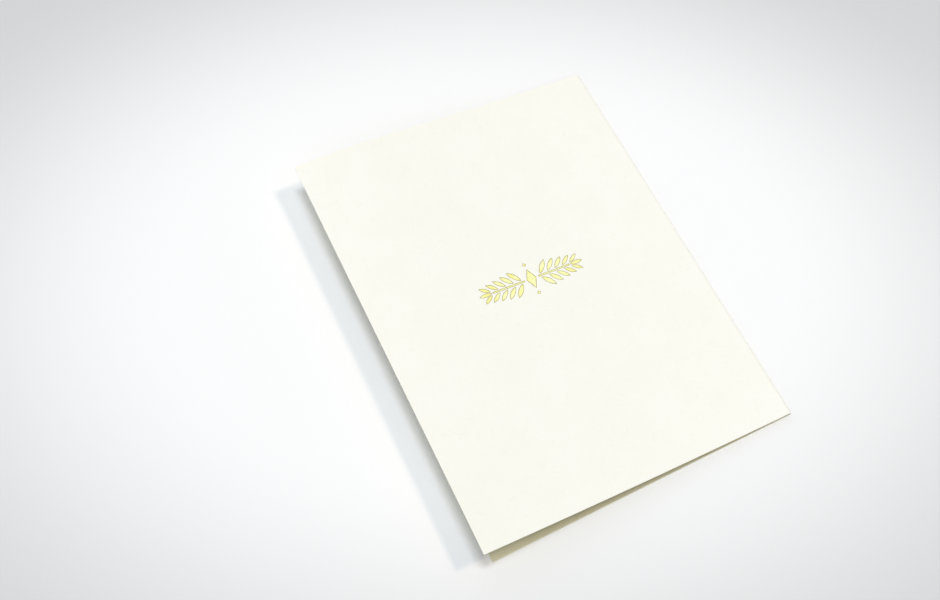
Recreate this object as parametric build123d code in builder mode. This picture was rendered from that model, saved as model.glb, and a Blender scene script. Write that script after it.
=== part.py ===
from build123d import *
import os
from math import radians, sin

# A portrait greeting card: one sheet of heavy cream card, scored and folded once.
# The back leaf lies flat and the front leaf springs open along its free edge.
# A spray of gold foil is pressed into the middle of the front leaf.
#
# Millimetres. X runs across the card to the fold, Y runs up the card, Z is up.
# The back leaf rests on Z = 0, and the origin is the middle of the footprint.

# The sheet
card_height = 139.7        # both leaves, along the fold
front_width = 107.95       # front leaf, from the outside of the fold to the free edge
front_overhang = 2.5       # how far the front leaf's free edge passes the back leaf's, half way up
card_thickness = 0.45
fold_inner_radius = 0.5    # inside of the scored fold
fold_slip = 0.8            # the fold isn't quite square, so the back leaf's free side sits lower

# How the front leaf springs, as slopes in degrees above the back leaf.
# It bends evenly from the fold to the curl, and evenly again over the curl.
curl_width = 28.0          # strip along the free edge that takes the curl
bottom_fold_slope = 2.0
bottom_curl_slope = 8.4
bottom_edge_slope = 10.5
top_fold_slope = 6.6
top_curl_slope = 8.2
top_edge_slope = -1.6

# The foil spray, measured from the middle of its lozenge
spray_rise = 3.5           # lozenge above the middle of the leaf
spray_reach = 18.6         # lozenge centre to the tip of the end leaf
lozenge_width = 3.4
lozenge_height = 7.2
finial_offset = 5.3        # lozenge centre to the centre of a finial
finial_size = 1.3          # across its corners
stem_start = 2.5
stem_width = 0.6
leaf_pairs = 5
first_leaf_at = 3.4        # along the stem
leaf_pitch = 2.75
leaf_gap = 0.3             # bare card between the stem and a leaf
first_leaf_length = 5.4
last_leaf_length = 3.9
leaf_fullness = 0.15       # half width of a leaf as a share of its length
first_leaf_angle = 50.0
last_leaf_angle = 34.0
end_leaf_length = 4.4
recess_depth = 0.10        # how far the stamp presses the card in
foil_thickness = 0.05

# Sizes that follow
fold_outer_radius = fold_inner_radius + card_thickness
spring_width = front_width - fold_outer_radius - curl_width
half_height = card_height / 2
bottom_slopes = (bottom_fold_slope, bottom_curl_slope, bottom_edge_slope)
top_slopes = (top_fold_slope, top_curl_slope, top_edge_slope)


def level_run(start_slope, end_slope, length):
    """Horizontal reach of a strip that bends evenly from one slope to the other."""
    bend = radians(end_slope - start_slope)
    return length / bend * (sin(radians(end_slope)) - sin(radians(start_slope)))


def leaf_reach(slopes):
    """How far the front leaf's free edge stands from the fold's axis, seen from above."""
    fold_slope, curl_slope, edge_slope = slopes
    sprung = level_run(fold_slope, curl_slope, spring_width)
    curled = level_run(curl_slope, edge_slope, curl_width)
    from_axis = sprung + curled - fold_outer_radius * sin(radians(fold_slope))
    return from_axis + max(0, card_thickness * sin(radians(edge_slope)))


# The front leaf is centred on the origin in X, and the two slipped leaves in Y
free_edge_reach = max(leaf_reach(bottom_slopes), leaf_reach(top_slopes))
fold_axis_x = (free_edge_reach - fold_outer_radius) / 2
back_edge_x = fold_axis_x - leaf_reach(bottom_slopes) + front_overhang
back_edge_lean = half_height * fold_slip / (fold_axis_x - back_edge_x)
leaf_middle_y = fold_slip / 2
leaf_bottom_y = leaf_middle_y - half_height
leaf_top_y = leaf_middle_y + half_height


def section_plane(y):
    """Plane across the card at y, with its local X along the card's and its local Y up."""
    return Plane(origin=(fold_axis_x, y, 0), x_dir=(1, 0, 0), z_dir=(0, -1, 0))


def bend_arc(previous, slope_change, length, depth):
    """Next even bend of the leaf, drawn at a depth below its outer face."""
    radius = length / abs(radians(slope_change))
    radius += depth if slope_change > 0 else -depth
    return JernArc(previous @ 1, previous % 1, radius, -slope_change)


def leaf_path(slopes, depth):
    """Fold, spring and curl of the front leaf at a depth below its outer face."""
    fold_slope, curl_slope, edge_slope = slopes
    fold = JernArc((0, depth), (1, 0), fold_outer_radius - depth, 180 - fold_slope)
    spring = bend_arc(fold, curl_slope - fold_slope, spring_width, depth)
    curl = bend_arc(spring, edge_slope - curl_slope, curl_width, depth)
    return fold @ 0, curl @ 1


def leaf_section(y, slopes, outer_depth, inner_depth):
    """Slice of the front leaf between two depths, on the plane across the card at y."""
    with BuildSketch(section_plane(y)) as section:
        with BuildLine():
            outer_start, outer_end = leaf_path(slopes, outer_depth)
            inner_start, inner_end = leaf_path(slopes, inner_depth)
            Line(outer_start, inner_start)
            Line(outer_end, inner_end)
        make_face()
    return section.sketch


def leaf_layer(outer_depth, inner_depth):
    """Loft the front leaf between two depths, from the bottom edge to the top edge."""
    bottom = leaf_section(leaf_bottom_y, bottom_slopes, outer_depth, inner_depth)
    top = leaf_section(leaf_top_y, top_slopes, outer_depth, inner_depth)
    loft([bottom, top], ruled=True)


def lens(base_x, base_y, angle, length):
    """A pointed leaf of the spray, from its base outwards at an angle."""
    half_width = length * leaf_fullness
    with BuildSketch(mode=Mode.PRIVATE) as blade:
        with BuildLine():
            ThreePointArc((0, 0), (length / 2, half_width), (length, 0))
            ThreePointArc((length, 0), (length / 2, -half_width), (0, 0))
        make_face()
    with Locations(Location((base_x, base_y, 0), (0, 0, angle))):
        add(blade.sketch)


def spray_side():
    """The right-hand half of the spray: stem, leaf pairs and the leaf at its end."""
    end_leaf_at = spray_reach - end_leaf_length
    stem_end = end_leaf_at - leaf_gap
    with Locations(((stem_start + stem_end) / 2, 0)):
        Rectangle(stem_end - stem_start, stem_width)
    lens(end_leaf_at, 0, 0, end_leaf_length)
    for pair in range(leaf_pairs):
        share = pair / max(leaf_pairs - 1, 1)
        length = first_leaf_length + share * (last_leaf_length - first_leaf_length)
        angle = first_leaf_angle + share * (last_leaf_angle - first_leaf_angle)
        leaf_at = first_leaf_at + pair * leaf_pitch
        clear_of_stem = stem_width / 2 + leaf_gap
        lens(leaf_at, clear_of_stem, angle, length)
        lens(leaf_at, -clear_of_stem, -angle, length)


def lozenge(centre_y, width, height):
    """An upright diamond on the spray's middle line."""
    with Locations((0, centre_y)):
        Polygon((width / 2, 0), (0, height / 2), (-width / 2, 0), (0, -height / 2))


# The spray's outline, level with the origin and the same when turned half round
with BuildSketch() as spray_outline:
    spray_side()
    mirror(about=Plane.YZ)
    lozenge(0, lozenge_width, lozenge_height)
    lozenge(finial_offset, finial_size, finial_size)
    lozenge(-finial_offset, finial_size, finial_size)

above_leaf = front_width  # the leaf can't spring higher than it is wide
spray_place = Location((0, leaf_middle_y + spray_rise, 0))
stamp_outline = spray_outline.sketch.moved(spray_place)

# The hollow that the stamp presses: the spray's outline, open above the leaf
with BuildPart() as stamp_hollow:
    leaf_layer(-card_thickness, recess_depth)
    extrude(stamp_outline, amount=above_leaf, mode=Mode.INTERSECT)

# The folded sheet: flat back leaf, scored fold and sprung front leaf in one piece
with BuildPart() as folded_card:
    with BuildSketch():
        with BuildLine():
            Polyline(
                (fold_axis_x, leaf_bottom_y),
                (fold_axis_x, leaf_top_y),
                (back_edge_x - back_edge_lean, leaf_top_y - fold_slip),
                (back_edge_x + back_edge_lean, leaf_bottom_y - fold_slip),
                close=True,
            )
        make_face()
    extrude(amount=card_thickness)
    leaf_layer(0, card_thickness)
    add(stamp_hollow.part, mode=Mode.SUBTRACT)

# The foil lies on the floor of the hollow and follows the leaf
with BuildPart() as foil_spray:
    leaf_layer(recess_depth - foil_thickness, recess_depth)
    extrude(stamp_outline, amount=above_leaf, mode=Mode.INTERSECT)

folded_card.part.label = "folded_card"
foil_spray.part.label = "foil_spray"

os.makedirs("parts", exist_ok=True)
export_step(folded_card.part, "parts/folded_card.step")
export_step(foil_spray.part, "parts/foil_spray.step")
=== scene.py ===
"""Looks, light and camera for a folded greeting card with a gold foil leaf spray.

The card's frame is packed in metres: X runs across the card to the fold, Y runs up the
card and Z is up. The back leaf lies flat on Z = 0. Sizes below are millimetres, as on a
stationer's drawing, and MM turns them into the frame's metres.
"""

import logging
from collections.abc import Sequence
from dataclasses import dataclass, field
from enum import Enum
from functools import cached_property
from math import atan2, cos, pi, radians, sin

import bpy
import numpy as np
from mathutils import Matrix, Vector
from mathutils.geometry import delaunay_2d_cdt


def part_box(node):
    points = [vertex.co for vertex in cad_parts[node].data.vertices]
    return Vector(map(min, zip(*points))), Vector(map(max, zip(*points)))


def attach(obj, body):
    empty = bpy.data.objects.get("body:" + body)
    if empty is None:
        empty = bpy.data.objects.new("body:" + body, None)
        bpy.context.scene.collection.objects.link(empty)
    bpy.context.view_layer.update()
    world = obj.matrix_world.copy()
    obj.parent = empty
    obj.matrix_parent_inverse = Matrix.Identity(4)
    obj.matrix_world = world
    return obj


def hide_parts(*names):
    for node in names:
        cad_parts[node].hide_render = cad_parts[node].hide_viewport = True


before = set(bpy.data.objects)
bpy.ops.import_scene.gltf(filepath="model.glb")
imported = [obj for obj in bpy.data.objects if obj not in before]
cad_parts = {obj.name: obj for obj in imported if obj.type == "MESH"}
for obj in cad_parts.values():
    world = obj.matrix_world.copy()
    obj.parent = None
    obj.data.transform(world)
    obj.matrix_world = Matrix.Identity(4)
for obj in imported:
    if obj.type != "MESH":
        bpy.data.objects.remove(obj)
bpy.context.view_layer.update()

MM = 0.001
BODY = "root"
LOG = logging.getLogger("greeting_card")

Band = tuple[float, float]
Colour = tuple[float, float, float]
Place = tuple[float, float, float]
Socket = bpy.types.NodeSocket
Inputs = dict[str | int, Socket | float | Sequence[float]]

# Places of a colour Mix node's sockets
MIX_SHARE, MIX_FIRST, MIX_SECOND, MIX_BLENDED = 0, 6, 7, 2

# A moved outline's corners are mitred while 1 plus the cosine of their turn is over this
MITRE_LIMIT = 0.3
# The share of its move by which a moved point clears the old outline
LEAST_CLEARANCE = 0.8
# Points nearer to each other than this are one, in millimetres
SAME_POINT = 1e-5
# The triangulation's choice to fill the whole convex hull
WHOLE_HULL = 0
# Grid lines that agree to this many decimals are one
SAME_LINE = 9


class CardFace(Enum):
    """The three kinds of surface on the sheet, in the order of its material slots."""

    OUTSIDE = 0
    INSIDE = 1
    CUT_EDGE = 2


@dataclass(frozen=True)
class Grain:
    """A noise pattern: features for each metre, number of finer layers and their strength."""

    scale: float
    detail: float
    roughness: float = 0.5


class NodeGraph:
    """A node tree, with short ways to add what the finishes and the sky are made of."""

    def __init__(self, tree: bpy.types.NodeTree) -> None:
        """Keep the tree that nodes are added to."""
        self.tree = tree

    def feed(self, node: bpy.types.Node, inputs: Inputs) -> None:
        """Link or set a node's inputs.

        Args:
            node: The node.
            inputs: What each input gets, by its name or place: a socket or a fixed value.
        """
        for name, value in inputs.items():
            socket = node.inputs[name]
            if isinstance(value, Socket):
                self.tree.links.new(value, socket)
            elif socket.type == "RGBA":
                socket.default_value = (*value, 1.0)
            else:
                socket.default_value = value

    def add(self, kind: str, inputs: Inputs | None = None, **settings: str) -> bpy.types.Node:
        """Add a node.

        Args:
            kind: Its kind, which is the node's type after ShaderNode.
            inputs: What its inputs get.
            **settings: Its own settings.

        Returns:
            The node.
        """
        node = self.tree.nodes.new(f"ShaderNode{kind}")
        for name, value in settings.items():
            setattr(node, name, value)
        self.feed(node, inputs or {})
        return node

    def ramp(self, value: Socket, given: Band, wanted: Band = (0.0, 1.0)) -> Socket:
        """Map a value smoothly from one range to another, held at its ends.

        Args:
            value: The value to map.
            given: The range that it is mapped from.
            wanted: The range that it is mapped to.

        Returns:
            The mapped value.
        """
        limits = zip(("From Min", "From Max", "To Min", "To Max"), given + wanted)
        inputs = {"Value": value, **dict(limits)}
        return self.add("MapRange", inputs, interpolation_type="SMOOTHSTEP").outputs["Result"]

    def combine(self, operation: str, first: Socket, second: Socket | float) -> Socket:
        """Combine two values by a math operation, such as MULTIPLY."""
        return self.add("Math", {0: first, 1: second}, operation=operation).outputs[0]

    def blend(self, share: Socket, first: Socket | Colour, second: Colour) -> Socket:
        """Blend from one colour to another by a share from 0 to 1."""
        inputs = {MIX_SHARE: share, MIX_FIRST: first, MIX_SECOND: second}
        return self.add("Mix", inputs, data_type="RGBA").outputs[MIX_BLENDED]


class Surface(NodeGraph):
    """A material with one surface shader, and what its patterns are made of."""

    def __init__(self, name: str) -> None:
        """Make the material.

        Args:
            name: Its name.
        """
        self.material = bpy.data.materials.new(name)
        self.material.use_nodes = True
        super().__init__(self.material.node_tree)
        self.place = self.add("TexCoord").outputs["Object"]

    def noise(self, grain: Grain, place: Socket | None = None) -> Socket:
        """Add a noise pattern.

        Args:
            grain: Its scale and layers.
            place: The coordinates that it reads, or none for the object's own.

        Returns:
            The noise's value, from 0 to 1.
        """
        inputs = {"Vector": place or self.place, "Scale": grain.scale}
        inputs.update({"Detail": grain.detail, "Roughness": grain.roughness})
        return self.add("TexNoise", inputs).outputs["Fac"]

    def mapped(self, size: Place, turn: float = 0.0, centre: Vector | Place = (0, 0, 0)) -> Socket:
        """Measure the object's coordinates from a centre, along turned axes.

        Args:
            size: The length that counts as 1 along each turned axis.
            turn: Angle of the first axis from X, in degrees.
            centre: Where the measuring starts.

        Returns:
            The new coordinates.
        """
        inputs = {"Vector": self.place, "Location": centre, "Scale": size}
        inputs["Rotation"] = (0.0, 0.0, radians(turn))
        return self.add("Mapping", inputs, vector_type="TEXTURE").outputs["Vector"]

    def painted(self, name: str) -> Socket:
        """Read a value that the mesh carries at its points."""
        return self.add("Attribute", attribute_name=name).outputs["Fac"]

    def raised(self, layers: list[tuple[Socket, float]]) -> Socket:
        """Chain bumps of real heights into a normal.

        Args:
            layers: Each height from 0 to 1, with what 1 stands for in millimetres.

        Returns:
            The normal.
        """
        chain = {}
        for height, rise in layers:
            inputs = {"Strength": 1.0, "Distance": rise * MM, "Height": height, **chain}
            chain = {"Normal": self.add("Bump", inputs).outputs["Normal"]}
        return chain["Normal"]

    def finished(self, inputs: Inputs) -> bpy.types.Material:
        """Feed the surface shader, and hand the material over."""
        self.feed(self.tree.nodes["Principled BSDF"], inputs)
        return self.material


@dataclass(frozen=True)
class CardFinish:
    """Uncoated cream card: cloudy formation, felt tooth, loose fibres, a worn fold, and painted shade
    on the inside.

    A band is the part of a noise over which its pattern comes in. Heights are in
    millimetres, and shares say how strongly a pattern colours the card.
    """

    cream: Colour = (0.967, 0.960, 0.888)
    cloud: Colour = (0.958, 0.948, 0.869)
    # Painted shade: the inside is the same cream stock, darkened here to stand in for the shade
    # between the leaves
    inside_painted_shade: Colour = (0.735, 0.705, 0.520)
    core: Colour = (0.870, 0.830, 0.660)
    fibre: Colour = (0.890, 0.855, 0.720)
    broken: Colour = (0.970, 0.965, 0.920)
    clouds: Grain = Grain(70.0, 4.0, 0.55)
    cloud_band: Band = (0.35, 0.65)
    felt: Grain = Grain(620.0, 2.0)
    felt_height: float = 0.016
    tooth: Grain = Grain(2600.0, 3.0, 0.62)
    tooth_height: float = 0.009
    cut_tooth_height: float = 0.012
    streaks: Grain = Grain(1500.0, 1.0)
    fibre_band: Band = (0.66, 0.74)
    fibre_stretch: float = 9.0
    fibre_turns: tuple[float, float, float] = (14.0, 71.0, -38.0)
    fibre_height: float = 0.006
    fibre_share: float = 0.22
    core_grain: Grain = Grain(620.0, 3.0)
    core_band: Band = (0.30, 0.70)
    ply_flatness: float = 12.0
    ply_height: float = 0.020
    breaks: Grain = Grain(2600.0, 3.0, 0.6)
    break_band: Band = (0.42, 0.66)
    break_stretch: float = 7.0
    break_turn: float = 90.0
    crack_height: float = 0.020
    broken_share: float = 0.8
    roughness: float = 0.86
    specular: float = 0.22
    sheen: float = 0.06

    def material(self, face: CardFace) -> bpy.types.Material:
        """Make the card's finish for one kind of its surface.

        Args:
            face: The surface that it is for.

        Returns:
            The material.
        """
        surface = Surface(f"cream_card_{face.name.lower()}")
        tooth = surface.noise(self.tooth)
        if face is CardFace.CUT_EDGE:
            colour = surface.ramp(surface.noise(self.core_grain), self.core_band)
            # The cut edge drifts between the core's tone and the inside's painted shade
            colour = surface.blend(colour, self.core, self.inside_painted_shade)
            layers = [(self._plies(surface), self.ply_height), (tooth, self.cut_tooth_height)]
        else:
            fibres = self._fibres(surface)
            felt = surface.noise(self.felt)
            colour = self._face_colour(surface, fibres, face)
            layers = [(felt, self.felt_height), (tooth, self.tooth_height)]
            layers.append((fibres, self.fibre_height))
        if face is CardFace.OUTSIDE:
            cracks = self._cracks(surface)
            worn = surface.combine("MULTIPLY", cracks, self.broken_share)
            colour = surface.blend(worn, colour, self.broken)
            layers.append((cracks, self.crack_height))
        constant = {"Roughness": self.roughness, "Specular IOR Level": self.specular}
        constant["Sheen Weight"] = self.sheen
        return surface.finished({"Base Color": colour, "Normal": surface.raised(layers), **constant})

    def _fibres(self, surface: Surface) -> Socket:
        """Scatter thin fibres in several directions.

        Args:
            surface: The material to add them to.

        Returns:
            1 on a fibre and 0 between them.
        """
        found = None
        for turn in self.fibre_turns:
            drawn = surface.mapped((self.fibre_stretch, 1.0, 1.0), turn)
            line = surface.ramp(surface.noise(self.streaks, drawn), self.fibre_band)
            found = surface.combine("MAXIMUM", found, line) if found else line
        return found

    def _face_colour(self, surface: Surface, fibres: Socket, face: CardFace) -> Socket:
        """Cream with the cloudy look of a sheet held to the light, and faint fibres; darker on the
        inside, as painted shade.

        Args:
            surface: The material to add it to.
            fibres: Where the fibres lie.
            face: The surface that it is for.

        Returns:
            The colour.
        """
        # On the inside the base is the painted-shade cream
        base = self.inside_painted_shade if face is CardFace.INSIDE else self.cream
        cloud, fibre = (
            tuple(a * b / c for a, b, c in zip(base, tone, self.cream))
            for tone in (self.cloud, self.fibre)
        )
        clouds = surface.ramp(surface.noise(self.clouds), self.cloud_band)
        colour = surface.blend(clouds, base, cloud)
        return surface.blend(surface.combine("MULTIPLY", fibres, self.fibre_share), colour, fibre)

    def _plies(self, surface: Surface) -> Socket:
        """Height of the fine layers that run level along a cut edge, from 0 to 1."""
        return surface.noise(self.core_grain, surface.mapped((1.0, 1.0, 1 / self.ply_flatness)))

    def _cracks(self, surface: Surface) -> Socket:
        """Break the fibres along the outside of the fold.

        Args:
            surface: The material to add the cracks to.

        Returns:
            1 in a crack and 0 away from the fold.
        """
        along = surface.mapped((self.break_stretch, 1.0, 1.0), self.break_turn)
        breaks = surface.ramp(surface.noise(self.breaks, along), self.break_band)
        return surface.combine("MULTIPLY", surface.painted("fold_wear"), breaks)


@dataclass(frozen=True)
class FoilFinish:
    """Hot-stamped gold foil: bright on the flats, with painted shade where it dips at its outline."""

    gold: Colour = (0.938, 0.930, 0.500)
    warm_gold: Colour = (0.908, 0.876, 0.330)
    # Painted shade: the dark tone along each outline, where the foil dips
    rim_shade: Colour = (0.340, 0.285, 0.020)
    drift: Grain = Grain(260.0, 3.0)
    drift_band: Band = (0.36, 0.64)
    drift_height: float = 0.003
    grain: Grain = Grain(2600.0, 3.0, 0.6)
    grain_band: Band = (0.35, 0.65)
    grain_height: float = 0.004
    roughness: Band = (0.20, 0.36)

    def material(self) -> bpy.types.Material:
        """Make the foil's finish.

        Returns:
            The material.
        """
        surface = Surface("gold_foil")
        drift = surface.ramp(surface.noise(self.drift), self.drift_band)
        grain = surface.noise(self.grain)
        colour = surface.blend(drift, self.gold, self.warm_gold)
        # Painted shade darkens the foil along its outline
        colour = surface.blend(surface.painted("foil_rim_shade"), colour, self.rim_shade)
        normal = surface.raised([(grain, self.grain_height), (drift, self.drift_height)])
        roughness = surface.ramp(grain, self.grain_band, self.roughness)
        inputs = {"Base Color": colour, "Roughness": roughness, "Metallic": 1.0, "Normal": normal}
        return surface.finished(inputs)


@dataclass(frozen=True)
class LeafSlopes:
    """How steeply the front leaf stands above the back one, in degrees."""

    at_fold: float
    at_curl: float
    at_edge: float


@dataclass(frozen=True)
class SheetSizes:
    """The folded sheet's driving sizes, the same as the solids' own, in millimetres."""

    height: float = 139.7
    front_width: float = 107.95
    front_overhang: float = 2.5
    thickness: float = 0.45
    fold_inner_radius: float = 0.5
    fold_slip: float = 0.8
    curl_width: float = 28.0
    bottom: LeafSlopes = LeafSlopes(2.0, 8.4, 10.5)
    top: LeafSlopes = LeafSlopes(6.6, 8.2, -1.6)

    @property
    def fold_radius(self) -> float:
        """Outside radius of the fold."""
        return self.fold_inner_radius + self.thickness

    @property
    def spring_width(self) -> float:
        """Width of the front leaf between its fold and its curl."""
        return self.front_width - self.fold_radius - self.curl_width

    def level_run(self, start: float, end: float, length: float) -> float:
        """Level reach of a strip that bends evenly from one slope to another, in degrees."""
        return length / radians(end - start) * (sin(radians(end)) - sin(radians(start)))

    def reach(self, slopes: LeafSlopes) -> float:
        """How far the free edge stands from the fold's axis.

        Args:
            slopes: The leaf's slopes at this end of the card.

        Returns:
            The reach.
        """
        sprung = self.level_run(slopes.at_fold, slopes.at_curl, self.spring_width)
        curled = self.level_run(slopes.at_curl, slopes.at_edge, self.curl_width)
        from_axis = sprung + curled - self.fold_radius * sin(radians(slopes.at_fold))
        return from_axis + max(0.0, self.thickness * sin(radians(slopes.at_edge)))

    @property
    def fold_x(self) -> float:
        """Where the fold's axis stands."""
        return (max(self.reach(self.bottom), self.reach(self.top)) - self.fold_radius) / 2

    @property
    def back_edge_x(self) -> float:
        """Where the back leaf's free edge stands."""
        return self.fold_x - self.reach(self.bottom) + self.front_overhang

    @property
    def back_edge_lean(self) -> float:
        """How far the back leaf's free corners stand aside, as its fold isn't square."""
        return self.height / 2 * self.fold_slip / (self.fold_x - self.back_edge_x)

    @property
    def bottom_y(self) -> float:
        """Where the front leaf's bottom edge stands."""
        return (self.fold_slip - self.height) / 2


@dataclass(frozen=True)
class Sheet:
    """The sheet as a surface: across it from leaf to leaf, up it, and down into it.

    Across runs from -1 at the back leaf's free edge to 0 at the fold, 1 where the front
    leaf leaves the fold, 2 where its curl begins and 3 at its free edge. Up runs from 0
    at the bottom edge to 1 at the top. Depth is in millimetres below the outside.
    """

    sizes: SheetSizes = SheetSizes()
    search_rounds: int = 6
    search_step: float = 1e-4

    def section(
        self, slopes: LeafSlopes, across: np.ndarray, depth: np.ndarray | float
    ) -> tuple[np.ndarray, np.ndarray]:
        """Points of one end of the sheet.

        Args:
            slopes: The front leaf's slopes at this end.
            across: Places across the sheet.
            depth: Depths below the outside.

        Returns:
            Their X and Z, in millimetres.
        """
        sizes = self.sizes
        radius = sizes.fold_radius
        fold, curl, edge = (radians(v) for v in (slopes.at_fold, slopes.at_curl, slopes.at_edge))

        def bend(
            start: Sequence[float], first: float, last: float, length: float, share: np.ndarray
        ) -> tuple[np.ndarray, np.ndarray, np.ndarray, np.ndarray]:
            """Follow a strip that bends evenly.

            Args:
                start: X and Z of its start.
                first: Its first slope, in radians.
                last: Its last slope.
                length: Its length.
                share: Places along it, from 0 to 1.

            Returns:
                X and Z of the places, then X and Z of the way out of the card there.
            """
            slope = first + (last - first) * share
            curve = length / (last - first)
            x = start[0] - curve * (np.sin(slope) - sin(first))
            z = start[1] + curve * (cos(first) - np.cos(slope))
            return x, z, np.sin(slope), np.cos(slope)

        level = np.zeros_like(across)
        back_x = sizes.back_edge_x + (across + 1) * (sizes.fold_x - sizes.back_edge_x)
        back = (back_x, level, level, level - 1)
        turn = -pi / 2 + across * (pi - fold)
        out = (np.cos(turn), np.sin(turn))
        folded = (sizes.fold_x + radius * out[0], radius + radius * out[1], *out)
        leaves_fold = (sizes.fold_x + radius * sin(fold), radius + radius * cos(fold))
        spring = bend(leaves_fold, fold, curl, sizes.spring_width, across - 1)
        spring_end = bend(leaves_fold, fold, curl, sizes.spring_width, np.array(1.0))
        curled = bend(spring_end[:2], curl, edge, sizes.curl_width, across - 2)
        where = [across < 0, across < 1, across < 2]
        x, z, out_x, out_z = (
            np.select(where, strips[:3], strips[3]) for strips in zip(back, folded, spring, curled)
        )
        return x - depth * out_x, z - depth * out_z

    def points(self, across: np.ndarray, up: np.ndarray, depth: np.ndarray | float) -> np.ndarray:
        """Points of the sheet.

        Args:
            across: Places across the sheet.
            up: Places up the sheet.
            depth: Depths below the outside.

        Returns:
            One row of X, Y and Z for each place, in metres.
        """
        low_x, low_z = self.section(self.sizes.bottom, across, depth)
        high_x, high_z = self.section(self.sizes.top, across, depth)
        on_back = np.clip(-across, 0, 1)
        x = low_x + up * (high_x - low_x) + on_back * (1 - 2 * up) * self.sizes.back_edge_lean
        y = self.sizes.bottom_y + up * self.sizes.height - on_back * self.sizes.fold_slip
        z = low_z + up * (high_z - low_z)
        return np.stack([x, y, z], axis=-1) * MM

    def across_at(self, x: np.ndarray, up: np.ndarray) -> np.ndarray:
        """Find the places across the front leaf that lie over given X.

        Args:
            x: X of each place, in millimetres.
            up: How far up the sheet each one is.

        Returns:
            Their places across the sheet.
        """
        across = 1 + (self.sizes.fold_x - x) / self.sizes.spring_width
        for _ in range(self.search_rounds):
            here = self.points(across, up, 0.0)[:, 0] / MM
            ahead = self.points(across + self.search_step, up, 0.0)[:, 0] / MM
            across = across + (x - here) * self.search_step / (ahead - here)
        return across

    def places_over(self, plan: np.ndarray) -> tuple[np.ndarray, np.ndarray]:
        """Places on the front leaf over places in plan: X, and Y above the leaf's middle."""
        up = plan[:, 1] / self.sizes.height + 0.5
        return self.across_at(plan[:, 0], up), up


@dataclass(frozen=True)
class SprayOutline:
    """The stamped spray's outline in plan, from the middle of its lozenge, in millimetres."""

    rise: float = 3.5
    reach: float = 18.6
    lozenge: tuple[float, float] = (3.4, 7.2)
    finial_offset: float = 5.3
    finial_size: float = 1.3
    stem_start: float = 2.5
    stem_width: float = 0.6
    leaf_pairs: int = 5
    first_leaf_at: float = 3.4
    leaf_pitch: float = 2.75
    leaf_gap: float = 0.3
    leaf_lengths: tuple[float, float] = (5.4, 3.9)
    leaf_angles: tuple[float, float] = (50.0, 34.0)
    leaf_fullness: float = 0.15
    end_leaf_length: float = 4.4
    arc_steps: int = 14
    longest_side: float = 0.6

    def leaf(self, base: tuple[float, float], angle: float, length: float) -> np.ndarray:
        """A pointed leaf between two arcs.

        Args:
            base: Its point nearest to the stem.
            angle: Its direction from X, in degrees.
            length: Its length.

        Returns:
            Its corners, turning left.
        """
        half_width = length * self.leaf_fullness
        radius = (length**2 / 4 + half_width**2) / (2 * half_width)
        half_arc = atan2(length / 2, radius - half_width)
        sweep = np.linspace(-half_arc, half_arc, self.arc_steps + 1)
        along = length / 2 + radius * np.sin(sweep)
        aside = radius * np.cos(sweep) - (radius - half_width)
        low_side = np.stack([along, -aside], axis=1)[:-1]
        high_side = np.stack([along, aside], axis=1)[::-1][:-1]
        corners = np.concatenate([low_side, high_side])
        turn = radians(angle)
        spin = np.array([[cos(turn), sin(turn)], [-sin(turn), cos(turn)]])
        return corners @ spin + np.array(base)

    def diamond(self, centre_y: float, width: float, height: float) -> np.ndarray:
        """Outline of an upright diamond, by the height of its centre on the middle line."""
        corners = np.array([(width / 2, 0), (0, height / 2), (-width / 2, 0), (0, -height / 2)])
        return self.with_steps(corners + (0, centre_y))

    def with_steps(self, corners: np.ndarray) -> np.ndarray:
        """Add points along straight sides, so that thin triangles are kept away.

        Args:
            corners: The outline's corners.

        Returns:
            The outline's points.
        """
        points = []
        for start, end in zip(corners, np.roll(corners, -1, axis=0)):
            count = max(1, int(np.ceil(np.linalg.norm(end - start) / self.longest_side)))
            points += [start + (end - start) * step / count for step in range(count)]
        return np.array(points)

    def islands(self) -> list[np.ndarray]:
        """Every separate piece of foil.

        Returns:
            Each outline's points, turning left.
        """
        end_leaf_at = self.reach - self.end_leaf_length
        stem_end = end_leaf_at - self.leaf_gap
        low, high = -self.stem_width / 2, self.stem_width / 2
        stem = np.array(
            [(self.stem_start, low), (stem_end, low), (stem_end, high), (self.stem_start, high)]
        )
        side = [self.with_steps(stem), self.leaf((end_leaf_at, 0), 0, self.end_leaf_length)]
        clear = self.stem_width / 2 + self.leaf_gap
        lengths = np.linspace(*self.leaf_lengths, self.leaf_pairs)
        angles = np.linspace(*self.leaf_angles, self.leaf_pairs)
        for pair, (length, angle) in enumerate(zip(lengths, angles)):
            at = self.first_leaf_at + pair * self.leaf_pitch
            side.append(self.leaf((at, clear), angle, length))
            side.append(self.leaf((at, -clear), -angle, length))
        other_side = [-outline for outline in side]
        middle = [self.diamond(0, *self.lozenge)]
        for offset in (self.finial_offset, -self.finial_offset):
            middle.append(self.diamond(offset, self.finial_size, self.finial_size))
        lift = np.array([0.0, self.rise])
        return [outline + lift for outline in side + other_side + middle]

    def distance(self, plan: np.ndarray) -> np.ndarray:
        """Distance from places to the foil's nearest outline, negative on the foil."""
        return np.min([outline_distance(plan, outline) for outline in self.islands()], axis=0)


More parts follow.
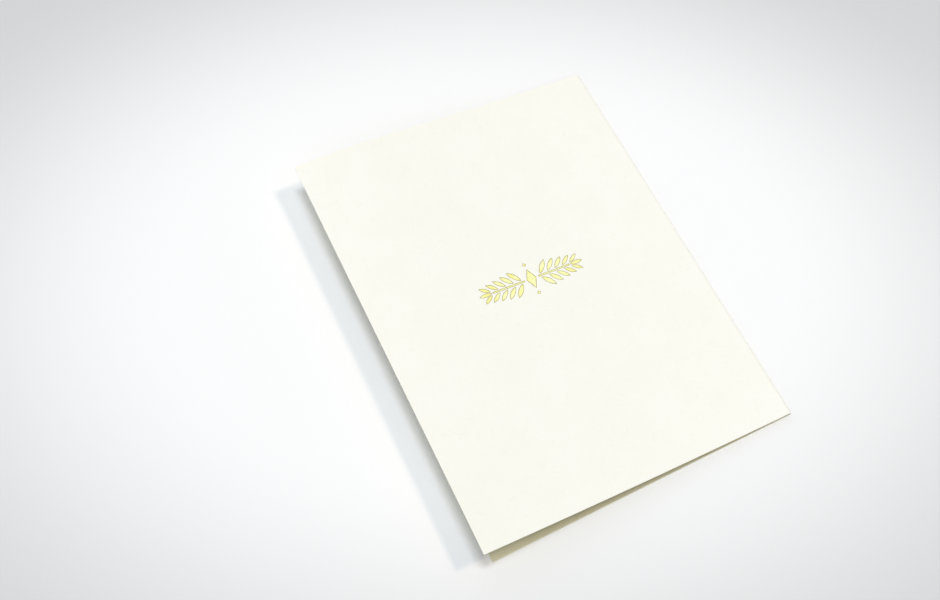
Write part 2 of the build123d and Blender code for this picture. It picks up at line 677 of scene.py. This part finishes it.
def outline_distance(points: np.ndarray, outline: np.ndarray) -> np.ndarray:
    """Distance from points to a closed outline, negative inside it.

    Args:
        points: The points.
        outline: The outline's points.

    Returns:
        Each point's distance.
    """
    start = outline[None, :, :]
    side = np.roll(outline, -1, axis=0)[None, :, :] - start
    offset = points[:, None, :] - start
    share = np.clip((offset * side).sum(-1) / (side**2).sum(-1), 0, 1)
    apart = np.linalg.norm(offset - share[..., None] * side, axis=-1).min(axis=1)
    above = points[:, None, 1] >= start[..., 1]
    end_above = points[:, None, 1] >= (start + side)[..., 1]
    turn = side[..., 0] * offset[..., 1] - side[..., 1] * offset[..., 0]
    crossings = (above & ~end_above & (turn < 0)).sum(1) + (~above & end_above & (turn > 0)).sum(1)
    return np.where(crossings % 2 == 1, -apart, apart)


def moved_outline(outline: np.ndarray, distance: float) -> np.ndarray:
    """Move an outline outwards, or inwards where the distance is negative.

    Its corners stay sharp, and points that come too near to another side are left out.

    Args:
        outline: The outline's points, turning left.
        distance: How far to move it.

    Returns:
        The moved points.
    """
    side = np.roll(outline, -1, axis=0) - outline
    side /= np.linalg.norm(side, axis=1)[:, None]
    ahead = np.stack([side[:, 1], -side[:, 0]], axis=1)
    behind = np.roll(ahead, 1, axis=0)
    sharpness = np.maximum(1 + (ahead * behind).sum(axis=1), MITRE_LIMIT)
    moved = outline + distance * (ahead + behind) / sharpness[:, None]
    gap = outline_distance(moved, outline)
    kept = np.abs(gap) > LEAST_CLEARANCE * abs(distance)
    return moved[kept & (np.sign(gap) == np.sign(distance))]


def neighbours(loop: list[int]) -> list[tuple[int, int]]:
    """Each number of a closed loop with the one after it."""
    return list(zip(loop, loop[1:] + loop[:1]))


def border(grid: np.ndarray) -> np.ndarray:
    """The values round a grid's border, in order."""
    return np.concatenate([grid[:-1, 0], grid[-1, :-1], grid[:0:-1, -1], grid[0, :0:-1]])


def merged(lines: list[float]) -> np.ndarray:
    """Grid lines in order, each of them once."""
    return np.unique(np.round(lines, SAME_LINE))


def grid_places(first: np.ndarray, second: np.ndarray) -> np.ndarray:
    """Where two sets of lines cross, as a grid of pairs."""
    return np.stack(np.meshgrid(first, second, indexing="ij"), axis=-1)


def triangulate(points: np.ndarray, loops: list[list[int]]) -> np.ndarray:
    """Fill the convex hull of some points with triangles that keep given loops.

    Args:
        points: The points.
        loops: Closed loops of point numbers that triangles may not cross.

    Returns:
        The triangles' point numbers, turning left.
    """
    edges = [edge for loop in loops for edge in neighbours(loop)]
    plain = [Vector(point) for point in points.tolist()]
    _, _, triangles, sources, _, _ = delaunay_2d_cdt(plain, edges, [], WHOLE_HULL, SAME_POINT)
    given = np.array([min(numbers) for numbers in sources])
    return given[np.array(triangles)]


@dataclass
class MeshParts:
    """Points, faces, materials and point values of a mesh while it is put together."""

    points: list[np.ndarray] = field(default_factory=list)
    faces: list[tuple[int, ...]] = field(default_factory=list)
    slots: list[int] = field(default_factory=list)
    values: list[np.ndarray] = field(default_factory=list)
    count: int = 0

    def add_points(self, points: np.ndarray, values: np.ndarray | float = 0.0) -> int:
        """Add points.

        Args:
            points: One row for each point.
            values: The value that each one carries.

        Returns:
            The first one's number.
        """
        first = self.count
        self.points.append(points)
        self.values.append(np.broadcast_to(values, len(points)))
        self.count += len(points)
        return first

    def add_face(self, corners: Sequence[int], slot: int = 0) -> None:
        """Add a face with its material slot."""
        self.faces.append(tuple(int(corner) for corner in corners))
        self.slots.append(slot)

    def to_object(self, name: str, value_name: str) -> bpy.types.Object:
        """Make a smooth-shaded object.

        Args:
            name: The object's name.
            value_name: The name of the value that its points carry.

        Returns:
            The object, linked to the scene.
        """
        mesh = bpy.data.meshes.new(name)
        mesh.from_pydata(np.concatenate(self.points).tolist(), [], self.faces)
        mesh.polygons.foreach_set("material_index", self.slots)
        mesh.polygons.foreach_set("use_smooth", [True] * len(self.faces))
        carried = mesh.attributes.new(value_name, "FLOAT", "POINT")
        carried.data.foreach_set("value", np.concatenate(self.values).astype(np.float32))
        mesh.update()
        made = bpy.data.objects.new(name, mesh)
        bpy.context.scene.collection.objects.link(made)
        return made


@dataclass
class FoldedSheet:
    """The card itself: both leaves and the fold as one closed shell.

    The stamp's show_through_spread and fill_gap are counted in stamp_shoulder widths.
    """

    sheet: Sheet
    spray: SprayOutline
    finish: CardFinish = CardFinish()
    edge_round: float = 0.07
    edge_support: float = 0.15
    fold_steps: int = 28
    leaf_step: float = 2.6
    wear_peak: float = 1.15
    wear_fall: float = 2.1
    stamp_margin: float = 3.0
    stamp_depth: float = 0.10
    stamp_shoulder: float = 0.14
    stamp_wall: float = 0.05
    show_through: float = 0.035
    show_through_spread: float = 4.0
    fill_step: float = 0.9
    fill_gap: float = 1.6
    parts: MeshParts = field(default_factory=MeshParts, init=False)

    def build(self) -> bpy.types.Object:
        """Build the shell from its grid, its stamped patch and its cut edge.

        Returns:
            The sheet's object.
        """
        outer = self._face_points(0.0)
        inner = self._face_points(self.sheet.sizes.thickness)
        self._face_quads(outer, CardFace.OUTSIDE)
        self._face_quads(inner, CardFace.INSIDE)
        self._stamp(outer, CardFace.OUTSIDE)
        self._stamp(inner, CardFace.INSIDE)
        self._cut_edge(outer, inner)
        return self.parts.to_object("card_sheet", "fold_wear")

    def dress(self, card: bpy.types.Object) -> None:
        """Give the sheet its finish and its place in the frame.

        Args:
            card: The sheet's object.
        """
        for face in CardFace:
            card.data.materials.append(self.finish.material(face))
        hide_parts("folded_card")
        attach(card, BODY)

    @cached_property
    def _window(self) -> tuple[float, float, float, float]:
        """Find the stamped patch's limits.

        Returns:
            Its limits across the sheet, then its limits up it.
        """
        height = self.sheet.sizes.height
        half = self.spray.reach + self.stamp_margin
        tall = self.spray.finial_offset + self.spray.finial_size / 2 + self.stamp_margin
        middle = self.spray.rise / height + 0.5
        right, left = self.sheet.across_at(np.array([half, -half]), np.array([0.5, 0.5]))
        return float(right), float(left), middle - tall / height, middle + tall / height

    @cached_property
    def _across(self) -> np.ndarray:
        """Space the grid's lines across the sheet.

        Returns:
            Their places, from the back leaf's free edge to the front leaf's.
        """
        sizes = self.sheet.sizes
        back_width = sizes.fold_x - sizes.back_edge_x
        right, left, _, _ = self._window
        cut, support = self.edge_round, self.edge_support
        lines = [-1 + cut / back_width]
        lines += self._even(-1 + support / back_width, 0, back_width)
        lines += np.linspace(0, 1, self.fold_steps + 1).tolist()
        for start, end in ((1, right), (right, left), (left, 2)):
            lines += self._even(start, end, sizes.spring_width)
        lines += self._even(2, 3 - support / sizes.curl_width, sizes.curl_width)
        lines.append(3 - cut / sizes.curl_width)
        return merged(lines)

    @cached_property
    def _up(self) -> np.ndarray:
        """Space the grid's lines up the sheet.

        Returns:
            Their places, from the bottom edge to the top.
        """
        height = self.sheet.sizes.height
        _, _, low, high = self._window
        cut, support = self.edge_round / height, self.edge_support / height
        lines = [cut, 1 - cut]
        for start, end in ((support, low), (low, high), (high, 1 - support)):
            lines += self._even(start, end, height)
        return merged(lines)

    def _even(self, start: float, end: float, length: float) -> list[float]:
        """Even places about a leaf_step apart, where 1 stands for a length."""
        steps = max(1, round(abs(end - start) * length / self.leaf_step))
        return np.linspace(start, end, steps + 1).tolist()

    def _worn(self, across: np.ndarray) -> np.ndarray:
        """How worn each place is: 1 along the middle of the fold, and 0 on the leaves."""
        return np.clip(self.wear_peak - self.wear_fall * np.abs(across - 0.5), 0, 1)

    def _face_points(self, depth: float) -> np.ndarray:
        """Add one face's grid of points.

        Args:
            depth: Its depth below the outside.

        Returns:
            The points' numbers, by line across and line up.
        """
        places = grid_places(self._across, self._up)
        across, up = places.reshape(-1, 2).T
        first = self.parts.add_points(self.sheet.points(across, up, depth), self._worn(across))
        return first + np.arange(len(across)).reshape(places.shape[:2])

    def _in_window(self) -> tuple[slice, slice]:
        """Find the grid lines of the stamped patch.

        Returns:
            The lines across the sheet, and the lines up it.
        """
        lines = (self._across, self._across, self._up, self._up)
        nearest = [int(np.abs(values - limit).argmin()) for values, limit in zip(lines, self._window)]
        right, left, low, high = nearest
        return slice(right, left + 1), slice(low, high + 1)

    def _face_quads(self, grid: np.ndarray, face: CardFace) -> None:
        """Add one face's squares, apart from the stamped patch.

        Args:
            grid: The face's point numbers.
            face: Which face it is.
        """
        wide, tall = self._in_window()
        for i in range(grid.shape[0] - 1):
            for j in range(grid.shape[1] - 1):
                if wide.start <= i < wide.stop - 1 and tall.start <= j < tall.stop - 1:
                    continue
                corners = (grid[i, j], grid[i, j + 1], grid[i + 1, j + 1], grid[i + 1, j])
                self._add(corners, face)

    def _add(self, corners: Sequence[int], face: CardFace) -> None:
        """Add a face of the shell, turned so that its front looks out of the card."""
        self.parts.add_face(corners[::-1] if face is CardFace.INSIDE else corners, face.value)

    def _pressed(self, plan: np.ndarray, spread: float) -> np.ndarray:
        """How far places are pressed in, from 0 to 1, where the pressing spreads past the foil."""
        share = np.clip((spread - self.spray.distance(plan)) / (spread + self.stamp_wall), 0, 1)
        return share * share * (3 - 2 * share)

    def _stamp(self, grid: np.ndarray, face: CardFace) -> None:
        """Fill the stamped patch with points that follow the foil's outlines.

        Args:
            grid: The face's point numbers.
            face: Which face it is.
        """
        wide, tall = self._in_window()
        edge = border(grid_places(self._across[wide], self._up[tall])) * self._scale
        own = [self._fill(edge.min(axis=0), edge.max(axis=0))]
        loops = []
        count = len(edge) + len(own[0])
        for outline in self.spray.islands():
            loops.append(list(range(count, count + len(outline))))
            beside = [moved_outline(outline, by) for by in (self.stamp_shoulder, -self.stamp_wall)]
            near = np.concatenate([outline, *beside])
            own.append(np.stack(self.sheet.places_over(near), axis=1) * self._scale)
            count += len(near)
        loops.append(list(range(len(edge))))
        own = np.concatenate(own)
        triangles = triangulate(np.concatenate([edge, own]), loops)
        first = self.parts.add_points(self._patch_points(own / self._scale, face))
        numbers = np.concatenate([border(grid[wide, tall]), first + np.arange(len(own))])
        for corners in numbers[triangles[:, ::-1]]:
            self._add(corners, face)

    def _fill(self, low: np.ndarray, high: np.ndarray) -> np.ndarray:
        """Even points inside the patch, clear of its border and of the foil's outlines.

        Args:
            low: The patch's lowest corner, in millimetres of sheet.
            high: Its highest corner.

        Returns:
            The points.
        """
        counts = np.maximum(2, np.round((high - low) / self.fill_step)).astype(int)
        lines = [np.linspace(a, b, n + 1)[1:-1] for a, b, n in zip(low, high, counts)]
        points = grid_places(*lines).reshape(-1, 2)
        near = np.abs(self.spray.distance(self._to_plan(points / self._scale)))
        return points[near > self.fill_gap * self.stamp_shoulder]

    @property
    def _scale(self) -> np.ndarray:
        """Millimetres of sheet for 1 across the spring, and for 1 up."""
        return np.array([self.sheet.sizes.spring_width, self.sheet.sizes.height])

    def _to_plan(self, places: np.ndarray) -> np.ndarray:
        """Turn places on the front leaf into places in plan.

        Args:
            places: Their places, across and up.

        Returns:
            X, and Y above the leaf's middle, in millimetres.
        """
        across, up = places.T
        x = self.sheet.points(across, up, 0.0)[:, 0] / MM
        return np.stack([x, (up - 0.5) * self.sheet.sizes.height], axis=1)

    def _patch_points(self, places: np.ndarray, face: CardFace) -> np.ndarray:
        """Press the patch's points in by the stamp.

        Args:
            places: Their places, across and up.
            face: Which face they are on.

        Returns:
            The points, in metres.
        """
        plan = self._to_plan(places)
        if face is CardFace.OUTSIDE:
            depth = self.stamp_depth * self._pressed(plan, self.stamp_shoulder)
        else:
            pressed = self._pressed(plan, self.show_through_spread * self.stamp_shoulder)
            depth = self.sheet.sizes.thickness + self.show_through * pressed
        return self.sheet.points(*places.T, depth)

    def _cut_edge(self, outer: np.ndarray, inner: np.ndarray) -> None:
        """Close the shell round the sheet's cut edge, with its two arrises eased.

        Args:
            outer: The outside's point numbers.
            inner: The inside's point numbers.
        """
        thickness = self.sheet.sizes.thickness
        across, up = self._across.copy(), self._up.copy()
        across[[0, -1]] = (-1.0, 3.0)
        up[[0, -1]] = (0.0, 1.0)
        round_across, round_up = border(grid_places(across, up)).T
        loops = [border(outer)]
        for depth in (self.edge_round, thickness - self.edge_round):
            points = self.sheet.points(round_across, round_up, depth)
            first = self.parts.add_points(points, self._worn(round_across))
            loops.append(first + np.arange(len(points)))
        loops.append(border(inner))
        slots = (CardFace.OUTSIDE, CardFace.CUT_EDGE, CardFace.INSIDE)
        for near, far, face in zip(loops, loops[1:], slots):
            for k, after in neighbours(list(range(len(near)))):
                self.parts.add_face((near[k], near[after], far[after], far[k]), face.value)


@dataclass
class FoilSpray:
    """The gold foil: one thin closed pan for each leaf, stem and diamond of the spray.

    The fill_gap is counted in rim_shade_band widths.
    """

    sheet: Sheet
    spray: SprayOutline
    finish: FoilFinish = FoilFinish()
    floor_depth: float = 0.055
    rim_depth: float = 0.012
    film: float = 0.030
    wall: float = 0.07
    # Width of the band of painted shade along each outline
    rim_shade_band: float = 0.17
    fill_step: float = 0.32
    fill_gap: float = 1.5
    sliver: float = 0.001
    parts: MeshParts = field(default_factory=MeshParts, init=False)

    def build(self) -> bpy.types.Object:
        """Build every piece of the foil.

        Returns:
            The foil's object.
        """
        for outline in self.spray.islands():
            self._island(outline)
        return self.parts.to_object("foil_leaf_spray", "foil_rim_shade")

    def dress(self, foil: bpy.types.Object) -> None:
        """Give the foil its finish and its place in the frame.

        Args:
            foil: The foil's object.
        """
        foil.data.materials.append(self.finish.material())
        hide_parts("foil_spray")
        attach(foil, BODY)

    def _island(self, outline: np.ndarray) -> None:
        """Add one piece of foil.

        Args:
            outline: Its outline in plan.
        """
        bands = [moved_outline(outline, -distance) for distance in (self.wall, self.rim_shade_band)]
        low, high = outline.min(axis=0), outline.max(axis=0)
        lines = [np.arange(a + self.fill_step / 2, b, self.fill_step) for a, b in zip(low, high)]
        fill = grid_places(*lines).reshape(-1, 2)
        fill = fill[outline_distance(fill, outline) < -self.fill_gap * self.rim_shade_band]
        loop = list(range(len(outline)))
        plan = np.concatenate([outline, *bands, fill])
        triangles = triangulate(plan, [loop])
        middles = plan[triangles].mean(axis=1)
        triangles = triangles[outline_distance(middles, outline) < -self.sliver]
        distance = np.minimum(outline_distance(plan, outline), 0)
        dip = np.clip(1 + distance / self.wall, 0, 1)
        depth = self.floor_depth + (self.rim_depth - self.floor_depth) * dip
        # Painted shade: 1 along the outline, fading to 0 on the flats
        rim_shade = np.clip((distance + self.rim_shade_band) / (self.rim_shade_band - self.wall), 0, 1)
        across, up = self.sheet.places_over(plan)
        top = self.parts.add_points(self.sheet.points(across, up, depth), rim_shade)
        bottom = self.parts.add_points(self.sheet.points(across, up, depth + self.film), rim_shade)
        for triangle in triangles:
            self.parts.add_face(top + triangle)
            self.parts.add_face(bottom + triangle[::-1])
        for a, b in neighbours(loop):
            self.parts.add_face((top + b, top + a, bottom + a, bottom + b))


@dataclass(frozen=True)
class PhotoCamera:
    """Where the photograph was taken from, worked out from the card's corners."""

    place: Place = (-94.5, -123.3, 331.5)
    aim: Place = (-19.5, 8.4, 0.0)
    roll: float = 3.97
    lens: float = 43.18
    sensor: float = 36.0
    nearest: float = 10.0
    farthest: float = 50000.0

    def build(self) -> None:
        """Make the camera and set it as the scene's."""
        data = bpy.data.cameras.new("photo_camera")
        data.sensor_fit = "HORIZONTAL"
        data.sensor_width = self.sensor
        data.lens = self.lens
        data.clip_start = self.nearest * MM
        data.clip_end = self.farthest * MM
        camera = bpy.data.objects.new("photo_camera", data)
        bpy.context.scene.collection.objects.link(camera)
        place = Vector(self.place) * MM
        look = (Vector(self.aim) * MM - place).normalized()
        level = look.to_track_quat("-Z", "Y").to_matrix()
        turned = level @ Matrix.Rotation(radians(self.roll), 3, "Z")
        camera.matrix_world = Matrix.Translation(place) @ turned.to_4x4()
        bpy.context.scene.camera = camera


@dataclass(frozen=True)
class Lamp:
    """An oval soft lamp: its name, where it shines from, its size, level and colour."""

    name: str
    towards: Place
    size: tuple[float, float]
    level: float
    colour: Colour
    distance: float = 6000.0

    def build(self) -> None:
        """Hang the lamp, facing the card, so that white under it shines by its level.

        The foil mirrors the backdrop and not the lamp.
        """
        towards = Vector(self.towards).normalized()
        distance = self.distance * MM
        data = bpy.data.lights.new(self.name, "AREA")
        data.shape = "ELLIPSE"
        data.size, data.size_y = (side * MM for side in self.size)
        data.color = self.colour
        data.energy = self.level * pi**2 * distance**2 / towards.z
        lamp = bpy.data.objects.new(self.name, data)
        lamp.visible_glossy = False
        bpy.context.scene.collection.objects.link(lamp)
        lamp.location = towards * distance
        lamp.rotation_euler = towards.to_track_quat("Z", "X").to_euler()


@dataclass
class Studio:
    """A pale floor under a soft sky, with a long lamp overhead and a small one aside."""

    floor_half: float = 900.0
    # Painted light: the floor is palest in an oval pool under the card and painted dimmer away from
    # it
    floor_in_light_pool: Colour = (0.950, 0.950, 0.952)
    floor_painted_dim: Colour = (0.650, 0.651, 0.656)
    light_pool_centre: Place = (-14.0, 16.0, 0.0)
    light_pool_half_axes: tuple[float, float] = (153.0, 108.0)
    light_pool_turn: float = -24.5
    light_pool_fade: Band = (0.60, 1.50)
    floor_roughness: float = 0.9
    floor_specular: float = 0.1
    sky: Colour = (0.95, 0.985, 1.04)
    sky_from: Place = (-0.80, 0.28, 0.52)
    sky_band: Band = (-0.5, 0.7)
    sky_levels: Band = (0.10, 0.70)
    backdrop: Colour = (0.983, 0.991, 1.000)
    backdrop_band: Band = (0.0, 0.6)
    backdrop_levels: Band = (0.672, 1.10)
    lamps: tuple[Lamp, ...] = (
        Lamp("overhead_box", (0.035, 0.065, 1.0), (750.0, 2000.0), 0.39, (0.93, 0.975, 1.0)),
        Lamp("side_lamp", (0.57, -0.13, 1.0), (800.0, 800.0), 0.18, (1.0, 0.84, 0.65)),
    )

    def build(self) -> None:
        """Make the floor, the sky and the lamps."""
        self._floor()
        self._sky()
        for lamp in self.lamps:
            lamp.build()

    def _floor(self) -> None:
        """Lay a level floor with a painted pool of light under the card, whose white fades to pale
        grey away from it.
        """
        half = self.floor_half * MM
        mesh = bpy.data.meshes.new("floor")
        corners = [(-half, -half, 0), (half, -half, 0), (half, half, 0), (-half, half, 0)]
        mesh.from_pydata(corners, [], [(0, 1, 2, 3)])
        floor = bpy.data.objects.new("floor", mesh)
        bpy.context.scene.collection.objects.link(floor)
        floor.data.materials.append(self._floor_material())

    def _floor_material(self) -> bpy.types.Material:
        """Make the floor's matt white, with a painted pool of light: palest in an oval under the
        card, painted dimmer away from it.

        Returns:
            The material.
        """
        surface = Surface("pale_floor")
        half_length, half_width = self.light_pool_half_axes
        size = (half_length * MM, half_width * MM, 1.0)
        place = surface.mapped(size, self.light_pool_turn, Vector(self.light_pool_centre) * MM)
        away = surface.add("VectorMath", {0: place}, operation="LENGTH").outputs["Value"]
        # Painted pool of light, fading out to the dimmer floor
        colour = surface.blend(surface.ramp(away, self.light_pool_fade), self.floor_in_light_pool, self.floor_painted_dim)
        constant = {"Roughness": self.floor_roughness, "Specular IOR Level": self.floor_specular}
        return surface.finished({"Base Color": colour, **constant})

    def _sky(self) -> None:
        """Light the card from all round, and show the camera and the foil a pale backdrop."""
        world = bpy.data.worlds.new("soft_sky")
        world.use_nodes = True
        graph = NodeGraph(world.node_tree)
        direction = graph.add("TexCoord").outputs["Generated"]
        bearing = {0: direction, 1: Vector(self.sky_from).normalized()}
        facing = graph.add("VectorMath", bearing, operation="DOT_PRODUCT").outputs["Value"]
        height = graph.add("SeparateXYZ", {"Vector": direction}).outputs["Z"]
        path = graph.add("LightPath").outputs
        seen = graph.combine("MAXIMUM", path["Is Camera Ray"], path["Is Transmission Ray"])
        mixed = {0: graph.combine("MAXIMUM", seen, path["Is Glossy Ray"])}
        light = graph.ramp(facing, self.sky_band, self.sky_levels)
        mixed[1] = graph.add("Background", {"Color": self.sky, "Strength": light}).outputs[0]
        shown = graph.ramp(height, self.backdrop_band, self.backdrop_levels)
        mixed[2] = graph.add("Background", {"Color": self.backdrop, "Strength": shown}).outputs[0]
        either = graph.add("MixShader", mixed).outputs[0]
        graph.feed(world.node_tree.nodes["World Output"], {"Surface": either})
        bpy.context.scene.world = world


def box_difference(first: tuple[Vector, Vector], second: tuple[Vector, Vector]) -> float:
    """Largest difference between the corners of two boxes, in millimetres."""
    return max(abs(a - b) for one, two in zip(first, second) for a, b in zip(one, two)) / MM


def object_box(made: bpy.types.Object) -> tuple[Vector, Vector]:
    """Lowest and highest corner of an object's mesh."""
    points = np.array([vertex.co for vertex in made.data.vertices])
    return Vector(points.min(axis=0)), Vector(points.max(axis=0))


def report(made: bpy.types.Object, node: str) -> None:
    """Log what was built and how well it keeps to its solid.

    Args:
        made: The piece.
        node: The solid that it stands for.
    """
    apart = box_difference(object_box(made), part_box(node))
    faces = len(made.data.polygons)
    LOG.info("%s: %d faces, %.3f mm from the box of %s", made.name, faces, apart, node)


def main() -> None:
    """Build the studio, the camera, the sheet and its foil."""
    logging.basicConfig(level=logging.INFO, format="%(name)s: %(message)s")
    bpy.context.scene.view_settings.view_transform = "Standard"
    Studio().build()
    PhotoCamera().build()
    sheet = Sheet()
    spray = SprayOutline()

    card_maker = FoldedSheet(sheet, spray)
    card = card_maker.build()
    card_maker.dress(card)
    report(card, "folded_card")

    foil_maker = FoilSpray(sheet, spray)
    foil = foil_maker.build()
    foil_maker.dress(foil)
    report(foil, "foil_spray")


if __name__ == "__main__":
    main()
